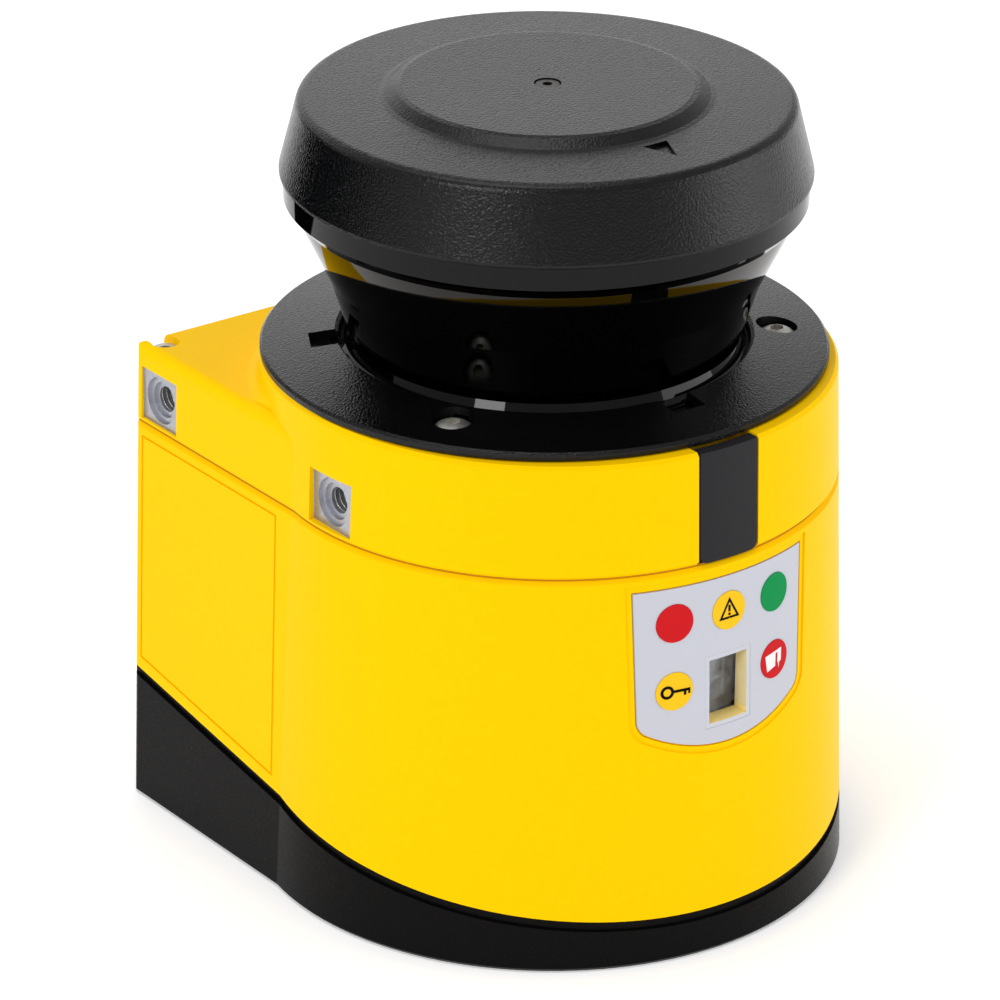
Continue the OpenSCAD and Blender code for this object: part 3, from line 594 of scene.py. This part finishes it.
# %% [markdown]
# ## Signs printed on the lenses
#
# Three of the indicators carry a sign: a triangle with its mark, a key, and a streaky pane
# for a dirty window. They are ink on lenses that follow the drum. Each sign starts as flat
# outlines, which a filled curve turns into a thin plate. Its points are then laid on the
# lens by a ray from the front, so that the ink follows the drum as well.

# %% Outlines of the signs, in millimetres from the lens's centre
def circle_points(radius, x=0.0, z=0.0, count=40):
    angles = [2 * math.pi * i / count for i in range(count)]
    return [(x + radius * math.cos(a), z + radius * math.sin(a)) for a in angles]


def rectangle(x0, z0, x1, z1):
    return [(x0, z0), (x1, z0), (x1, z1), (x0, z1)]


def triangle(size, drop=0.0):
    """An upright triangle round the centre, a little taller than an even-sided one."""
    half, foot, tip = size * 0.92, -size * 0.62 - drop, size * 1.05 - drop
    return [(-half, foot), (half, foot), (0, tip)]


WARNING_SIGN = [triangle(2.5, 0.05), triangle(1.75, 0.1), rectangle(-0.25, -0.2, 0.25, 1.05),
                circle_points(0.28, 0, -0.72, 16)]
KEY_SIGN = [circle_points(1.3, -1.8, 0.0), circle_points(0.75, -1.8, 0.0),
            [(-0.5, 0.27), (2.75, 0.27), (2.75, -0.85), (2.35, -0.85), (2.35, -0.27),
             (1.95, -0.27), (1.95, -1.0), (1.45, -1.0), (1.45, -0.27), (-0.5, -0.27)]]
SOILING_SIGN = [[(-2.2, 1.2), (2.2, 1.75), (2.1, -0.75), (1.6, -1.0), (1.48, -2.1), (1.3, -0.9),
                 (1.08, -0.85), (1.2, 1.1), (0.6, 1.05), (0.5, -1.4), (-1.7, -2.0)]]
print("signs:", len(WARNING_SIGN), len(KEY_SIGN), len(SOILING_SIGN), "outlines")

# %% [markdown]
# The filled curve needs its points close together, because a long edge would cut through
# the curved lens. So each side is divided before the curve is filled.

# %% A flat plate from outlines
SIDE_STEP = 0.35  # mm


def divided(outline):
    """The outline with no side much longer than SIDE_STEP."""
    points = []
    for (x0, z0), (x1, z1) in zip(outline, outline[1:] + outline[:1]):
        parts = max(1, int(math.hypot(x1 - x0, z1 - z0) / SIDE_STEP))
        points += [(x0 + (x1 - x0) * i / parts, z0 + (z1 - z0) * i / parts)
                   for i in range(parts)]
    return points


def new_object(name, data):
    """An object at the origin, linked to the scene."""
    made = bpy.data.objects.new(name, data)
    bpy.context.scene.collection.objects.link(made)
    return made


def evaluated_mesh(holder):
    """The plain mesh that an object's curve or modifiers come to."""
    ready = holder.evaluated_get(bpy.context.evaluated_depsgraph_get())
    return bpy.data.meshes.new_from_object(ready)


def flat_plate(name, outlines):
    """A closed thin plate in the XY plane, 1 mm thick, with the inner outlines as holes."""
    curve = bpy.data.curves.new(name + "_outline", "CURVE")
    curve.dimensions, curve.fill_mode, curve.extrude = "2D", "BOTH", 0.5 * MM
    for outline in outlines:
        points = divided(outline)
        spline = curve.splines.new("POLY")
        spline.points.add(len(points) - 1)
        for point, (x, z) in zip(spline.points, points):
            point.co = (x * MM, z * MM, 0, 1)
        spline.use_cyclic_u = True
    holder = new_object(name + "_outline", curve)
    mesh = evaluated_mesh(holder)
    bpy.data.objects.remove(holder)
    return mesh


print("points round the warning triangle:", len(divided(WARNING_SIGN[0])))

# %% [markdown]
# A ray from the front finds the lens behind each point. The front of the plate goes just
# before the lens and its back just behind that surface, so the ink is 0.1 mm thick and no
# gap shows at its edge.

# %% Lay each sign on its lens
INK_PROUD = 0.05  # mm
RAY_START = 0.01  # m in front of the lens


def print_sign(name, outlines, lens, ink):
    """A sign of ink that follows the front of a lens."""
    mesh = flat_plate(name, outlines)
    low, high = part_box(lens)
    solid = nodes[lens].data
    surface = BVHTree.FromPolygons([v.co for v in solid.vertices],
                                   [p.vertices for p in solid.polygons])
    middle = (low + high) / 2
    for vertex in mesh.vertices:
        x, z = middle.x + vertex.co.x, middle.z + vertex.co.y
        hit = surface.ray_cast(Vector((x, low.y - RAY_START, z)), Vector((0, 1, 0)))[0]
        proud = INK_PROUD * MM if vertex.co.z > 0 else -INK_PROUD * MM
        vertex.co = (x, hit.y - proud, z)
    sign = new_object(name, mesh)
    mesh.materials.clear()
    mesh.materials.append(ink)
    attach(sign, "housing")
    print(name, len(mesh.polygons), "faces")


print_sign("warning_sign", WARNING_SIGN, "warning_lens", ink_black)
print_sign("key_sign", KEY_SIGN, "restart_lens", ink_black)
print_sign("soiling_sign", SOILING_SIGN, "soiling_lens", ink_white)

# %% [markdown]
# ## Trees that repeat a shape
#
# A seven-segment digit is one bar used seven times, and the mounting threads are one ridge
# used for each hole, which is work for Geometry Nodes. Both trees take loose points, each
# with its turn stored as an attribute, put a shape on each, and make the instances real.
# Sizes are named inputs, so a piece can be changed without touching its tree. The result
# is applied and becomes a plain mesh.

# %% The frame of a tree
def new_tree(name, inputs):
    """A tree with a mesh going in and out and named inputs, and the outputs these give."""
    tree = bpy.data.node_groups.new(name, "GeometryNodeTree")
    tree.interface.new_socket("Geometry", in_out="INPUT", socket_type="NodeSocketGeometry")
    for label, (kind, value) in inputs.items():
        socket = tree.interface.new_socket(label, in_out="INPUT", socket_type=kind)
        if value is not None:
            socket.default_value = value
    tree.interface.new_socket("Geometry", in_out="OUTPUT", socket_type="NodeSocketGeometry")
    return tree, add(tree, "NodeGroupInput").outputs


def place_on_points(tree, given, shape):
    """The end of a tree: the shape on every point, turned, made real and given its finish."""
    turn = add(tree, "GeometryNodeInputNamedAttribute", {"Name": "turn"},
               data_type="FLOAT_VECTOR")
    placed = add(tree, "GeometryNodeInstanceOnPoints", {
        "Points": given["Geometry"], "Instance": shape, "Rotation": turn.outputs["Attribute"]})
    real = add(tree, "GeometryNodeRealizeInstances", {"Geometry": placed.outputs["Instances"]})
    dressed = add(tree, "GeometryNodeSetMaterial", {
        "Geometry": real.outputs["Geometry"], "Material": given["Finish"]})
    add(tree, "NodeGroupOutput", {"Geometry": dressed.outputs["Geometry"]})
    return tree


print("tree helpers ready")

# %% [markdown]
# A tree runs as a modifier on an object made of loose points. Its inputs are set by their
# identifiers, because a label is only what the panel shows.

# %% Grow a piece from points
def points_object(name, places, turns):
    """A mesh of loose points, each with the rotation that its instance takes."""
    mesh = bpy.data.meshes.new(name)
    mesh.from_pydata(places, [], [])
    turn = mesh.attributes.new("turn", "FLOAT_VECTOR", "POINT")
    turn.data.foreach_set("vector", [v for t in turns for v in t])
    return new_object(name, mesh)


def grow_mesh(holder, tree, values, body):
    """Runs a tree on an object with these inputs, and keeps the result as its plain mesh."""
    modifier = holder.modifiers.new(tree.name, "NODES")
    modifier.node_group = tree
    for item in tree.interface.items_tree:
        if item.in_out == "INPUT" and item.name in values:
            modifier[item.identifier] = values[item.name]
    mesh = evaluated_mesh(holder)
    holder.modifiers.remove(modifier)
    holder.data = mesh
    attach(holder, body)
    print(holder.name, len(mesh.polygons), "faces")


print("growing helpers ready")

# %% [markdown]
# ## The digit
#
# The segments are pointed bars of milky epoxy on the display's face. A cylinder with six
# sides, made flat and long, is such a bar. Three of them lie level and four stand upright.

# %% The digit's tree and its seven points
def digit_tree():
    tree, given = new_tree("seven_segments", {
        "Length": ("NodeSocketFloat", 4 * MM), "Width": ("NodeSocketFloat", 0.9 * MM),
        "Thickness": ("NodeSocketFloat", 0.1 * MM), "Finish": ("NodeSocketMaterial", None)})
    bar = add(tree, "GeometryNodeMeshCylinder", {"Vertices": 6, "Radius": 0.5, "Depth": 1.0})
    size = add(tree, "ShaderNodeCombineXYZ", {
        "X": given["Length"], "Y": given["Width"], "Z": given["Thickness"]})
    shaped = add(tree, "GeometryNodeTransform", {
        "Geometry": bar.outputs["Mesh"], "Scale": size.outputs[0]})
    return place_on_points(tree, given, shaped.outputs["Geometry"])


# Milky epoxy of a light guide: a pale, even grey while the digit is off.
segment_finish = moulded("light_guide_epoxy", "8C8D8D", 0.35, 0.6, 0.002, dark=0.85)
low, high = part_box("display_module")
centre_x, centre_z = (low.x + high.x) / 2, (low.z + high.z) / 2
WIDE, TALL = 2.15, 3.9  # mm from the digit's middle to its uprights, and to its top bar
PROUD = 0.02  # mm from the display's face to the middle of a bar
upright, level = (math.pi / 2, math.pi / 2, 0), (math.pi / 2, 0, 0)
spots = [(0, TALL, level), (0, 0, level), (0, -TALL, level)]
spots += [(side * WIDE, end * TALL / 2, upright) for side in (-1, 1) for end in (-1, 1)]
digit = points_object(
    "display_digit",
    [(centre_x + x * MM, low.y - PROUD * MM, centre_z + z * MM) for x, z, _ in spots],
    [turn for _, _, turn in spots])
grow_mesh(digit, digit_tree(), {
    "Length": 3.7 * MM, "Width": 0.85 * MM, "Thickness": 0.1 * MM,
    "Finish": segment_finish}, "housing")

# %% [markdown]
# ## Threads in the mounting holes
#
# The solids have plain bores at the thread's core size, because a bracket's screw is
# tested against them. For the eye, a fine helical ridge runs round each bore. A Curve Spiral
# with one turn per pitch is swept with a small triangle, and the tree puts it at each
# thread of the mount table.

# %% The tree of a thread
def thread_tree():
    tree, given = new_tree("thread_ridge", {
        "Radius": ("NodeSocketFloat", 2.5 * MM), "Length": ("NodeSocketFloat", 6 * MM),
        "Turns": ("NodeSocketFloat", 6.0), "Ridge": ("NodeSocketFloat", 0.2 * MM),
        "Finish": ("NodeSocketMaterial", None)})
    helix = add(tree, "GeometryNodeCurveSpiral", {
        "Resolution": 20, "Rotations": given["Turns"], "Start Radius": given["Radius"],
        "End Radius": given["Radius"], "Height": given["Length"]})
    profile = add(tree, "GeometryNodeCurvePrimitiveCircle", {
        "Resolution": 3, "Radius": given["Ridge"]})
    ridge = add(tree, "GeometryNodeCurveToMesh", {
        "Curve": helix.outputs["Curve"], "Profile Curve": profile.outputs["Curve"],
        "Fill Caps": True})
    return place_on_points(tree, given, ridge.outputs["Mesh"])


threads = thread_tree()
# Aluminium cut by a tap: bright flanks with small torn spots.
cut_aluminium = metal("aluminium_thread_cut", "C6C4BE", 0.3, 0.5, 0.01)
print("inputs of the thread's tree:", len(threads.interface.items_tree) - 2)

# %% [markdown]
# A threaded hole's place in the mount table is the middle of its thread, and its axis looks
# out of the hole. So the ridge starts half its length further in and runs outwards.

# %% Threads in the flanks
FLANK_PITCH = 1.0  # mm, of an M6 thread
FLANK_LEAD = 0.3  # mm without a ridge at each end of the shortest thread
side_mounts = [m for m in record["mounts"] if m["kind"] == "threaded_hole"]
depth = min(m["dims"]["length_mm"] for m in side_mounts) - 2 * FLANK_LEAD
places = [Vector(m["pos_m"]) - Vector(m["axis"]) * depth / 2 * MM for m in side_mounts]
turns = [(0, math.copysign(math.pi / 2, m["axis"][0]), 0) for m in side_mounts]
grow_mesh(points_object("side_thread_ridges", places, turns), threads, {
    "Radius": side_mounts[0]["dims"]["r_mm"] * MM, "Length": depth * MM,
    "Turns": depth / FLANK_PITCH, "Ridge": 0.22 * MM, "Finish": cut_aluminium},
    "housing")

# %% [markdown]
# The rear holes are one bolt pattern in the table, with its middle on the rear face. Its
# spacings give the four places, and the same tree makes a finer thread there.

# %% Threads at the rear
REAR_PITCH = 0.8  # mm, of an M5 thread
REAR_DEPTH, REAR_LEAD = 7.0, 0.5  # mm; the thread starts a little inside the hole
pattern = next(m for m in record["mounts"] if m["kind"] == "bolt_pattern")
rear, dims = Vector(pattern["pos_m"]), pattern["dims"]
half_x, half_z = dims["spacing_x_mm"] / 2 * MM, dims["spacing_y_mm"] / 2 * MM
places = [rear + Vector((x, -(REAR_DEPTH + REAR_LEAD) * MM, z))
          for x in (-half_x, half_x) for z in (-half_z, half_z)]
grow_mesh(points_object("rear_thread_ridges", places, [(-math.pi / 2, 0, 0)] * 4), threads, {
    "Radius": dims["hole_r_mm"] * MM, "Length": REAR_DEPTH * MM,
    "Turns": REAR_DEPTH / REAR_PITCH, "Ridge": 0.18 * MM, "Finish": cut_aluminium},
    "housing")

# %% [markdown]
# ## The set
#
# The scanner stands on a plain white floor that curves up behind it, as in a product
# photographer's cove. A cove has no horizon line, so the white runs on without an edge.
# It is opal acrylic with a faint light behind it, which keeps the shadows thin.

# %% Floor and backdrop
REACH, RISE, BEND = 4.0, 3.0, 1.2  # m
BEND_STEPS = 16


def white_cove():
    """A floor that turns up into a wall behind the object."""
    angles = [math.pi / 2 * i / BEND_STEPS for i in range(BEND_STEPS + 1)]
    profile = [(-REACH, 0.0)]
    profile += [(REACH - BEND + BEND * math.sin(a), BEND - BEND * math.cos(a)) for a in angles]
    profile.append((REACH, RISE))
    corners = [(x, y, z) for y, z in profile for x in (-REACH, REACH)]
    faces = [(2 * i, 2 * i + 1, 2 * i + 3, 2 * i + 2) for i in range(len(profile) - 1)]
    mesh = bpy.data.meshes.new("white_cove")
    mesh.from_pydata(corners, [], faces)
    for face in mesh.polygons:
        face.use_smooth = True
    return new_object("white_cove", mesh)


# Opal acrylic sheet with light behind it: an even white without a highlight.
cove_finish, tree, shader, place = start_finish(
    "opal_acrylic_lit_from_below", Base_Color=linear("F9F9F9"),
    Emission_Color=linear("FFFFFF"), Emission_Strength=0.28)
grain(tree, shader, place, cell_mm=30.0, depth_mm=0.01, rough=0.85, spread=0.02)
cove = white_cove()
cove.data.materials.append(cove_finish)
print("cove:", len(cove.data.polygons), "faces")

# %% [markdown]
# A low black card behind the left side gives the glossy cap something dark to mirror there,
# so that its round form can be read. The camera looks past the card, and it throws no
# shadow.

# %% A card that only mirrors see
def black_card(name, start, end, height):
    """An upright card, as photographers use one to darken one side of a gloss."""
    mesh = bpy.data.meshes.new(name)
    (x0, y0), (x1, y1) = start, end
    mesh.from_pydata([(x0, y0, 0), (x1, y1, 0), (x1, y1, height), (x0, y0, height)], [],
                     [(0, 1, 2, 3)])
    # Black foam board: a dead matt surface.
    mesh.materials.append(moulded(name + "_foam", "0A0A0A", 0.9, 5.0, 0.01, sheen=0.1))
    card = new_object(name, mesh)
    card.visible_camera = card.visible_shadow = card.visible_diffuse = False
    return card


left_card = black_card("left_card", (-0.75, 0.3), (-0.04, 0.3), 0.2)
print("card in m:", [round(side, 2) for side in left_card.dimensions])

# %% [markdown]
# ## Camera
#
# The camera looks down on the left front corner from a good metre away. Its direction is an
# azimuth and an elevation; the aim point lies on the scan axis, a little to one side. The
# long lens keeps the uprights almost parallel.

# %% Place the camera
AZIMUTH, ELEVATION, ROLL = (math.radians(v) for v in (-36.72, 24.57, 0.50))
DISTANCE, AIM_HEIGHT, AIM_SIDE = 1109.0 * MM, 68.64 * MM, -7.96 * MM
SENSOR, FOCAL_WIDTHS = 36, 5.922  # the sensor's width in mm, and the lens in sensor widths

back = Vector((math.sin(AZIMUTH) * math.cos(ELEVATION), -math.cos(AZIMUTH) * math.cos(ELEVATION),
               math.sin(ELEVATION)))
right = Vector((math.cos(AZIMUTH), math.sin(AZIMUTH), 0))
up = back.cross(right)
side = right * math.cos(ROLL) + up * math.sin(ROLL)
top = -right * math.sin(ROLL) + up * math.cos(ROLL)
camera_data = bpy.data.cameras.new("camera")
camera_data.sensor_width = SENSOR
camera_data.lens = SENSOR * FOCAL_WIDTHS
camera_data.clip_end = 50
camera = new_object("camera", camera_data)
turned_frame = Matrix((side, top, back)).transposed().to_4x4()
stand = Vector((0, 0, AIM_HEIGHT)) + right * AIM_SIDE + back * DISTANCE
camera.matrix_world = Matrix.Translation(stand) @ turned_frame
bpy.context.scene.camera = camera
print("lens in mm:", round(camera_data.lens, 1))

# %% [markdown]
# ## Light
#
# Four soft boxes in a white room light the scanner. The top light hangs over the deck and
# makes it as bright as the walls. The key light stands on the left and fills the flank and
# the drum. The side light on the right is mirrored in the bumps of the cap, which is what
# makes its texture sparkle. The back light gives the level black faces their grey sheen.

# %% Soft boxes and the white room
AIM = (0, 0, 0.08)  # m, the middle of the scanner


def soft_box(name, place, size, power):
    """A rectangular light of these sizes in metres, turned to the scanner."""
    light = bpy.data.lights.new(name, "AREA")
    light.shape, light.energy = "RECTANGLE", power
    light.size, light.size_y = size
    box = new_object(name, light)
    box.location = place
    box.rotation_euler = (Vector(AIM) - Vector(place)).to_track_quat("-Z", "Y").to_euler()


soft_box("top_light", (-0.2, 0.1, 1.4), (0.9, 0.9), power=5.5)
soft_box("key_light", (-1.5, -0.6, 0.9), (0.5, 0.5), power=9)
soft_box("side_light", (0.95, -0.75, 0.35), (0.8, 0.6), power=4.2)
soft_box("back_light", (0.9, 1.2, 0.75), (1.1, 0.8), power=1.0)

world = bpy.data.worlds.new("white_room")
bpy.context.scene.world = world
world.use_nodes = True
background = world.node_tree.nodes["Background"]
background.inputs["Color"].default_value = linear("FFFFFF")
background.inputs["Strength"].default_value = 0.56
bpy.context.scene.view_settings.view_transform = "Standard"
